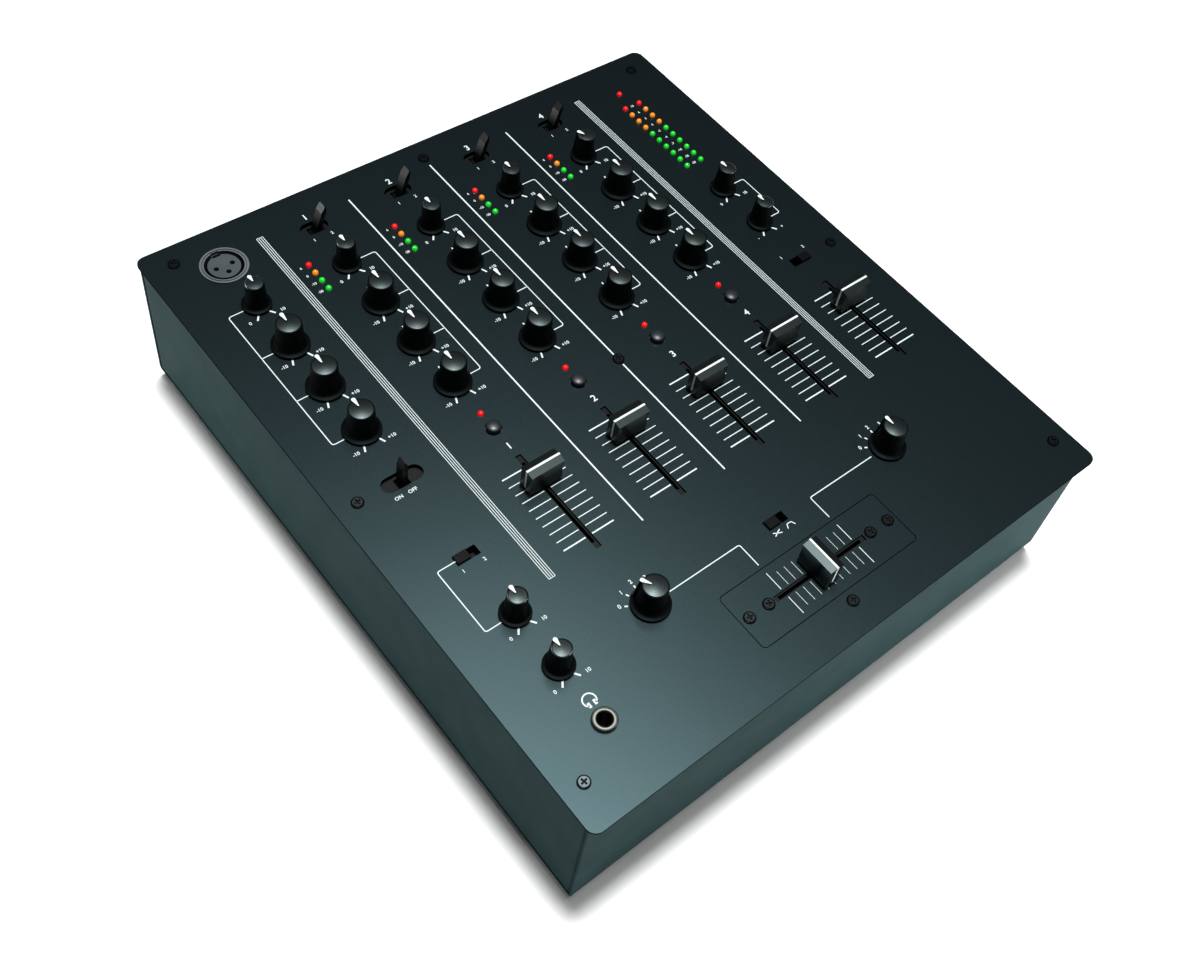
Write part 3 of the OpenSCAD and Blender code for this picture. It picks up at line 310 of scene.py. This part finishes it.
def paint_faces(node, material, chosen):
    """Gives a second material to the faces whose centre and normal, in millimetres, chosen accepts."""
    mesh = nodes[node].data
    index = len(mesh.materials)
    mesh.materials.append(material)
    for face in mesh.polygons:
        if chosen(face.center / MM, face.normal):
            face.material_index = index


def radius_from(centre, x, y):
    return math.hypot(centre.x - x, centre.y - y)


# ---- Marks on the moving controls ----

def paint_pointer(node):
    """White on the pointer's head and down the outer edge of its fin."""
    low, high = box_mm(node)
    joint = next(j for j in frame["joints"] if j["child"] == node)
    axis_x, axis_y = (v / MM for v in joint["pos_m"][:2])
    top = high.z
    head = [v.co / MM for v in nodes[node].data.vertices if v.co.z / MM > top - NEAR]
    aim = sum((Vector((v.x - axis_x, v.y - axis_y)) for v in head), Vector((0, 0))).normalized()
    fin_half = 0.46
    fin_start = 4
    fin_foot = 1.6

    def chosen(centre, normal):
        out = Vector((centre.x - axis_x, centre.y - axis_y))
        along = out.dot(aim)
        aside = abs(out.x * aim.y - out.y * aim.x)
        on_head = normal.z > FACING and centre.z > top - NEAR
        outward = normal.x * aim.x + normal.y * aim.y
        on_fin = along > fin_start and aside < fin_half and outward > 0.3 and centre.z > TOP_Z + fin_foot
        return on_head or on_fin

    paint_faces(node, M["white"], chosen)


def paint_cap_line(node, length_axis):
    """White on the raised line along the cap's ridge and down both ends."""
    low, high = box_mm(node)

    def chosen(centre, normal):
        along = centre[length_axis]
        on_ridge = normal.z > FACING and centre.z > high.z - NEAR
        at_end = abs(normal[length_axis]) > FACING and (
            along > high[length_axis] - NEAR or along < low[length_axis] + NEAR)
        return on_ridge or at_end

    paint_faces(node, M["white"], chosen)


def paint_knob_top(node):
    """The crown's finish on the top's dish and the rounding round it, inside the fin."""
    low, high = box_mm(node)
    middle = centre_mm(node)
    dish_foot = high.z - 1.3
    reach = 0.62 * (high.x - low.x) / 2
    paint_faces(node, M["crown"], lambda c, n: n.z > 0.75 and c.z > dish_foot
                and radius_from(c, middle.x, middle.y) < reach)


for name in nodes:
    if "knob" in name:
        paint_knob_top(name)
        paint_pointer(name)
for name in [f"channel_fader_{i}" for i in range(1, 5)] + ["master_fader"]:
    paint_cap_line(name, 0)
paint_cap_line("crossfader", 1)


# ---- Screws, sheet edges and sockets ----

SCREW_TOP = box_mm("panel_screws")[1].z


def screw_middles():
    """Where the screws stand. Points of their tops that are nearer than touch belong to one head."""
    touch = 3
    heads = []
    points = [v.co / MM for v in nodes["panel_screws"].data.vertices]
    for point in [p for p in points if p.z > SCREW_TOP - NEAR]:
        touching = [h for h in heads if any(radius_from(point, p.x, p.y) < touch for p in h)]
        heads = [h for h in heads if all(h is not t for t in touching)] + [sum(touching, [point])]
    return [[(min(p[i] for p in head) + max(p[i] for p in head)) / 2 for i in (0, 1)] for head in heads]


def paint_screws():
    """The metal's colour in the middle of the heads with painted shade at their rim, and painted shade in
    their crosses and below.
    """
    light_r = 2.3
    # light is the heads' metal colour; dark is painted shade at their rim.
    light, dark = (0.085, 0.11, 0.115), (0.003, 0.003, 0.003)
    head_with_painted_rim_shade = ringed("screw_head_painted_rim_shade", M["screw"], screw_middles(), light_r, light, dark)

    def on_top(c, n):
        return n.z > FACING and c.z > SCREW_TOP - 0.1

    paint_faces("panel_screws", head_with_painted_rim_shade, on_top)
    # Painted shade in the crosses and on the heads' sides below the top.
    paint_faces("panel_screws", M["recess"], lambda c, n: c.z < SCREW_TOP - 0.02 and not on_top(c, n))


def paint_jacks():
    """A ring with a painted bevel highlight and painted shade on the headphone socket, in line with the
    crossfader, and a bright nickel ring on the rear jack socket.
    """
    x, y = MIC_X, FRONT_Y + PLATE_Y
    rear_x = (COLUMNS[2] + COLUMNS[3]) / 2
    hole_r, ring_r = 3.75, 4.9
    # The headphone socket's ring: painted highlight and painted shade for its bevel.
    ring = bevelled_ring("jack_ring_painted_bevel", M["nickel"], (x, y), hole_r, ring_r)
    paint_faces("jack_sockets", ring, lambda c, n: n.z > FACING and c.z > TOP_Z + 1
                and radius_from(c, x, y) < ring_r)
    paint_faces("jack_sockets", M["nickel"], lambda c, n: n.y > FACING and c.y > REAR_WALL_Y + 1
                and math.hypot(c.x - rear_x, c.z - REAR_ROW_Z) < ring_r)


def paint_phono_sockets():
    """Pale inserts in the upper row and red ones in the lower."""
    end = box_mm("phono_sockets")[1].y
    insert_from, insert_to = end - 1.2, end - 0.45
    for material, above in (("pale_ring", True), ("red_ring", False)):
        paint_faces("phono_sockets", M[material], lambda c, n, above=above: n.y > FACING
                    and insert_from < c.y < insert_to and (c.z > REAR_ROW_Z) == above)


def paint_mains_blades():
    """Bright blades in the mains inlet, which is the rear moulding nearest the right end."""
    inlet_x = box_mm("rear_mouldings")[1].x - 15.5
    half_w, half_h = 8.5, 3.4
    blade_foot, blade_end = REAR_WALL_Y - 16.9, REAR_WALL_Y - 2.85
    paint_faces("rear_mouldings", M["nickel"], lambda c, n: blade_foot < c.y < blade_end
                and abs(c.z - REAR_ROW_Z) < half_h and abs(c.x - inlet_x) < half_w)


mic_top = box_mm("microphone_socket")[1].z
paint_faces("microphone_socket", M["ring"], lambda c, n: n.z > FACING and c.z > mic_top - NEAR)
# Painted shade on the panel's and plate's edge and hole faces.
for name in ("top_panel", "crossfader_plate"):
    paint_faces(name, M["edge"], lambda c, n: n.z < 0.5)
paint_screws()
paint_jacks()
paint_phono_sockets()
paint_mains_blades()


# ---- Printed marks on the panel ----

class Print:
    """Collects flat marks and builds one thin layer. Places are (x, y from the panel's front edge)."""
    thickness = 0.03

    def __init__(self):
        self.mesh = bmesh.new()

    def stroke(self, path, width):
        """A line of one width along a path of points."""
        points = [Vector(p) for p in path]
        left, right = [], []
        for i, point in enumerate(points):
            before = (point - points[i - 1]).normalized() if i else (points[1] - point).normalized()
            after = (points[i + 1] - point).normalized() if i < len(points) - 1 else before
            normal = Vector((-(before + after).y, (before + after).x)).normalized()
            half = width / 2 / max(0.5, normal.dot(Vector((-before.y, before.x))))
            left.append(point + normal * half)
            right.append(point - normal * half)
        rows = [[self.mesh.verts.new((p.x, p.y, z)) for p in side]
                for side in (left, right) for z in (0, self.thickness)]
        left_low, left_high, right_low, right_high = rows
        for i in range(len(points) - 1):
            self.mesh.faces.new((left_high[i], right_high[i], right_high[i + 1], left_high[i + 1]))
            self.mesh.faces.new((left_low[i], left_low[i + 1], right_low[i + 1], right_low[i]))
            self.mesh.faces.new((left_low[i], left_high[i], left_high[i + 1], left_low[i + 1]))
            self.mesh.faces.new((right_low[i], right_low[i + 1], right_high[i + 1], right_high[i]))
        self.mesh.faces.new((left_low[0], right_low[0], right_high[0], left_high[0]))
        self.mesh.faces.new((left_low[-1], left_high[-1], right_high[-1], right_low[-1]))

    def words(self, text, x, y, height):
        """Digits or signs, centred on (x, y), height tall."""
        font_size_per_height = 1.38
        boldness = 0.022
        curve = bpy.data.curves.new("figures", "FONT")
        curve.body = text
        curve.align_x = "CENTER"
        curve.align_y = "CENTER"
        curve.size = height * font_size_per_height
        curve.offset = height * boldness
        curve.resolution_u = 3
        curve.extrude = self.thickness / 2
        carrier = bpy.data.objects.new("figures", curve)
        bpy.context.scene.collection.objects.link(carrier)
        bpy.context.view_layer.update()
        flat = bpy.data.meshes.new_from_object(carrier)
        flat.transform(Matrix.Translation((x, y, self.thickness / 2)))
        self.mesh.from_mesh(flat)
        bpy.data.objects.remove(carrier)
        bpy.data.curves.remove(curve)
        bpy.data.meshes.remove(flat)

    def build(self, name, material, body="mixer"):
        bmesh.ops.remove_doubles(self.mesh, verts=self.mesh.verts, dist=0.0005)
        bmesh.ops.recalc_face_normals(self.mesh, faces=self.mesh.faces)
        mesh = bpy.data.meshes.new(name)
        self.mesh.to_mesh(mesh)
        self.mesh.free()
        mesh.transform(Matrix.Translation((0, FRONT_Y * MM, TOP_Z * MM)) @ Matrix.Scale(MM, 4))
        mesh.materials.append(material)
        piece = bpy.data.objects.new(name, mesh)
        bpy.context.scene.collection.objects.link(piece)
        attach(piece, body)
        return piece


def rounded(path, radius, steps=4):
    """The path with its inner corners rounded."""
    points = [Vector(p) for p in path]
    out = [points[0]]
    for before, corner, after in zip(points, points[1:], points[2:]):
        a = corner + (before - corner).normalized() * radius
        b = corner + (after - corner).normalized() * radius
        for i in range(steps + 1):
            t = i / steps
            out.append(a * (1 - t) ** 2 + corner * 2 * t * (1 - t) + b * t ** 2)
    return out + [points[-1]]


def arc(x, y, radius, start, end, steps=16):
    turn = [math.radians(start + (end - start) * i / steps) for i in range(steps + 1)]
    return [(x + radius * math.cos(a), y + radius * math.sin(a)) for a in turn]


# Widths of the printed lines
THIN, FINE, LINE, TICK, THICK = 0.34, 0.45, 0.5, 0.7, 0.75
# Heights of the printed figures
TINY, SMALL, LARGE = 1.5, 1.9, 3.8
# How far left of the microphone's knobs the lines that join them run
MIC_BRACKET = 15.2
# The marks about a knob, from its middle: the ticks at the ends of its turn and the figures beside them
SMALL_MARKS = {"tick": ((2.9, -6.3), (4.8, -8.9)), "left": (-8.5, -8.7), "right": (8.8, -8.7)}
WIDE_MARKS = {"tick": ((3.8, -7.6), (5.3, -11.1)), "left": (-9.3, -10), "right": (9.6, -10),
              "middle": ((0, 10.7), (0, 11.9))}


def print_dividers(ink):
    """Lines between the channels, the middle one broken at a screw, and a band of lines at each end."""
    front, rear = 101, 339.5
    screw_gap = 3.6
    band_lines, band_pitch = 4, 1.1
    left_band, right_band = -103.05, 98.2
    outer_left, middle, outer_right = [(a + b) / 2 for a, b in zip(COLUMNS, COLUMNS[1:])]
    for x in (outer_left, outer_right):
        ink.stroke([(x, front), (x, rear)], THICK)
    for low, high in ((front, MIDDLE_Y - screw_gap), (MIDDLE_Y + screw_gap, rear)):
        ink.stroke([(middle, low), (middle, high)], THICK)
    for band in (left_band, right_band):
        lines = [band + band_pitch * i for i in range(band_lines)]
        for x in lines:
            ink.stroke([(x, front), (x, rear)], THIN)
        for y in (front, rear):
            ink.stroke([(lines[0] - THIN / 2, y), (lines[-1] + THIN / 2, y)], THIN)


def print_bracket(ink, x, rows, ends):
    """A line at x that joins the knobs in these rows, each by a stub that ends at its own x."""
    ink.stroke(rounded([(ends[0], rows[0]), (x, rows[0]), (x, rows[-1]), (ends[-1], rows[-1])], 1.5), LINE)
    for row_y, end in list(zip(rows, ends))[1:-1]:
        ink.stroke([(x, row_y), (end, row_y)], LINE)


def print_knob_marks(ink, x, y, marks, left, right):
    tick_width = 0.85
    for side in (-1, 1):
        ink.stroke([(x + side * a, y + b) for a, b in marks["tick"]], tick_width)
    for text, (a, b) in ((left, marks["left"]), (right, marks["right"])):
        ink.words(text, x + a, y + b, SMALL)
    if "middle" in marks:
        ink.stroke([(x + a, y + b) for a, b in marks["middle"]], TICK)


def print_knobs(ink):
    tone_rows = [TREBLE_Y, MID_Y, BASS_Y]
    rows = [GAIN_Y] + tone_rows
    for x in COLUMNS:
        small_end, wide_end = x + 7.3, x + 9.2
        print_bracket(ink, x + 16.3, rows, [small_end] + [wide_end] * 3)
        print_knob_marks(ink, x, GAIN_Y, SMALL_MARKS, "0", "10")
    small_end, wide_end = MIC_X - 6.9, MIC_X - 8.6
    print_bracket(ink, MIC_X - MIC_BRACKET, rows, [small_end] + [wide_end] * 3)
    print_bracket(ink, MASTER_X + 15.1, [MID_Y, BASS_Y], [MASTER_X + 8.5] * 2)
    for x in [MIC_X] + COLUMNS:
        for y in tone_rows:
            print_knob_marks(ink, x, y, WIDE_MARKS, "-10", "+10")
    print_knob_marks(ink, MIC_X, GAIN_Y, SMALL_MARKS, "0", "10")
    print_knob_marks(ink, MASTER_X, MID_Y, SMALL_MARKS, "0", "10")
    print_knob_marks(ink, MASTER_X, BASS_Y, SMALL_MARKS, "-", "+")
    for y in (CUE_LEVEL_Y, CUE_MIX_Y):
        print_knob_marks(ink, MIC_X, y, SMALL_MARKS, "0", "10")


def print_scales(ink):
    """Lines beside each line fader, and figures for the channels, their inputs and the lights."""
    lines, pitch = 10, 5
    line_start, line_end = 1.9, 14.2
    light_pitch = 6
    channel_y, input_y, cue_y = 340, 324, 167.6
    for x in COLUMNS + [MASTER_X]:
        for i in range(lines):
            y = FADER_Y + pitch * (i - (lines - 1) / 2)
            for side in (-1, 1):
                ink.stroke([(x + side * line_start, y), (x + side * line_end, y)],
                           TICK if i in (0, lines - 1) else FINE)
    for i, x in enumerate(COLUMNS):
        ink.words(str(i + 1), x - 0.3, channel_y, LARGE)
        ink.words(str(i + 1), x, cue_y, LARGE)
        ink.words("1", x - 4.5, input_y, SMALL)
        ink.words("2", x + 5.5, input_y, SMALL)
        for k, text in enumerate(("6", "0", "-10", "-20")):
            ink.words(text, x - 20.4, GAIN_Y + 9.1 - light_pitch * k, TINY)
    for k, text in enumerate(("10", "6", "3", "0", "-2", "-4", "-7", "-10", "-20", "-30")):
        ink.words(text, MASTER_X, GAIN_Y + 18.4 - light_pitch * k, TINY)


def print_switches(ink):
    """Figures at the slide switches, ON and OFF at the lever, and a line from the cue switch to its knob."""
    lever_y = MIDDLE_Y - 7.8
    ink.words("ON", MIC_X - 6.8, lever_y, SMALL)
    ink.words("OFF", MIC_X + 0.4, lever_y, SMALL)
    for x, y, reach in ((MIC_X, FADER_Y - 6, 5.5), (MASTER_X, MIDDLE_Y + 6.2, 8)):
        ink.words("1", x - reach, y, SMALL)
        ink.words("2", x + reach, y, SMALL)
    left = MIC_X - MIC_BRACKET
    ink.stroke(rounded([(MIC_X - 5.6, FADER_Y), (left, FADER_Y), (left, CUE_MIX_Y),
                        (MIC_X - 6.8, CUE_MIX_Y)], 1.2), LINE)


def print_assignment(ink):
    """The positions of the assign knobs, and a line from each to the crossfader's plate."""
    knob_clear, plate_x, plate_end = 11, 22.5, PLATE_Y + 17.3
    tick_from, tick_to, figure_r, figure_h = 9.9, 11.4, 13.6, 2.1
    for side in (-1, 1):
        ink.stroke(rounded([(side * (ASSIGN_X - knob_clear), ASSIGN_Y), (side * plate_x, ASSIGN_Y),
                            (side * plate_x, plate_end)], 1.2), LINE)
        for k, turn in enumerate((60, 30, 0, -30, -60)):
            direction = Vector((-math.sin(math.radians(turn)), math.cos(math.radians(turn))))
            middle = Vector((side * ASSIGN_X, ASSIGN_Y))
            ink.stroke([middle + direction * tick_from, middle + direction * tick_to], TICK)
            ink.words(str(k), *(middle + direction * figure_r), figure_h)


def print_curve_signs(ink):
    """Crossing slopes and a plateau, in front of the crossfader's curve switch."""
    low = ASSIGN_Y - 6.4
    high = low + 2
    falling = [(-5.6, high), (-3.5, low + 0.8), (-1.4, low)]
    rising = [(-5.6, low), (-3.5, low + 1.2), (-1.4, high)]
    for path in (falling, rising):
        ink.stroke(path, FINE)
    foot = low - 0.2
    ink.stroke(rounded([(2.2, foot), (3.2, high), (5.8, high), (6.8, foot)], 0.6), FINE)


def print_headphones(ink):
    x, y = MIC_X + 0.7, PLATE_Y + 10.6
    band_width, cup_width = 0.65, 1.3
    ink.stroke(arc(x, y, 3.1, -28, 208), band_width)
    for side in (-1, 1):
        cup_x = x + side * 1.5
        ink.stroke([(cup_x, y - 3.1), (cup_x, y - 0.6)], cup_width)
        ink.stroke([(x + side * 2.75, y - 1.4), (x + side * 1.6, y - 2.2)], TICK)


def print_crossfader(ink):
    slot_half = 2.4
    pitch, last = 4.5, 5
    for i in range(-last, last + 1):
        x = pitch * i
        reach, width = (12.2, 0.36) if abs(i) == last else (10.2, 0.2)
        for side in (-1, 1):
            ink.stroke([(x, PLATE_Y + side * slot_half), (x, PLATE_Y + side * reach)], width)


panel_ink = Print()
for draw in (print_dividers, print_knobs, print_scales, print_switches, print_assignment, print_curve_signs,
             print_headphones):
    draw(panel_ink)
panel_ink.build("panel_print", M["ink"])
plate_ink = Print()
print_crossfader(plate_ink)
plate_ink.build("plate_print", M["ink"])


# ---- Floor, light and camera ----

def make_floor():
    mesh = bpy.data.meshes.new("floor")
    half = 4
    corners = [(-half, -half, 0), (half, -half, 0), (half, half, 0), (-half, half, 0)]
    mesh.from_pydata(corners, [], [(0, 1, 2, 3)])
    material, _, shader = new_material("floor_white")
    shader.inputs["Base Color"].default_value = (0.93, 0.93, 0.93, 1)
    shader.inputs["Roughness"].default_value = 0.9
    mesh.materials.append(material)
    floor = bpy.data.objects.new("floor", mesh)
    bpy.context.scene.collection.objects.link(floor)


def make_softbox(name, place, aim, size, power):
    """An area light at place, facing aim, with its sides in metres and its power in watts."""
    data = bpy.data.lights.new(name, "AREA")
    data.shape = "RECTANGLE"
    data.size, data.size_y = size
    data.energy = power
    light = bpy.data.objects.new(name, data)
    light.location = Vector(place) * MM
    light.rotation_euler = (Vector(aim) - Vector(place)).to_track_quat("-Z", "Y").to_euler()
    light.visible_camera = False
    bpy.context.scene.collection.objects.link(light)


def make_top_light(strength):
    """A light from nearly straight above, equal everywhere, that leans from the rear right."""
    data = bpy.data.lights.new("top_light", "SUN")
    data.energy = strength
    data.angle = math.radians(8)
    light = bpy.data.objects.new("top_light", data)
    light.rotation_euler = Vector((-0.05, -0.05, -1)).to_track_quat("-Z", "Y").to_euler()
    bpy.context.scene.collection.objects.link(light)


def make_world(strength):
    world = bpy.data.worlds.new("studio")
    world.use_nodes = True
    background = world.node_tree.nodes["Background"]
    background.inputs["Color"].default_value = (1, 1, 1, 1)
    background.inputs["Strength"].default_value = strength
    bpy.context.scene.world = world


def make_camera():
    """The photograph's camera, fitted to the panel's corners and lights."""
    data = bpy.data.cameras.new("camera")
    data.sensor_width = 36
    data.lens = 42.29
    data.shift_x = -0.0468
    data.shift_y = -0.0465
    data.clip_start = 0.01
    camera = bpy.data.objects.new("camera", data)
    # Rows: the picture's right, down and forward directions
    right = (0.75614, -0.63818, 0.14481)
    down = (-0.44566, -0.66423, -0.60016)
    forward = (0.47920, 0.38927, -0.78666)
    turn = Matrix((right, [-v for v in down], [-v for v in forward])).transposed().to_4x4()
    camera.matrix_world = Matrix.Translation(Vector((-329.07, -302.98, 610.89)) * MM) @ turn
    bpy.context.scene.collection.objects.link(camera)
    bpy.context.scene.camera = camera


make_floor()
make_world(0.03)
make_softbox("overhead", place=(0, -70, 1000), aim=(0, -70, 0), size=(0.6, 0.88), power=5.0)
make_softbox("right_fill", place=(420, -600, 45), aim=(130, -170, 50), size=(0.30, 0.07), power=4.2)
make_softbox("left_fill", place=(-460, 420, 45), aim=(-160, 100, 50), size=(0.30, 0.07), power=1.5)
make_top_light(3.5)
make_camera()
bpy.context.scene.view_settings.view_transform = "Standard"
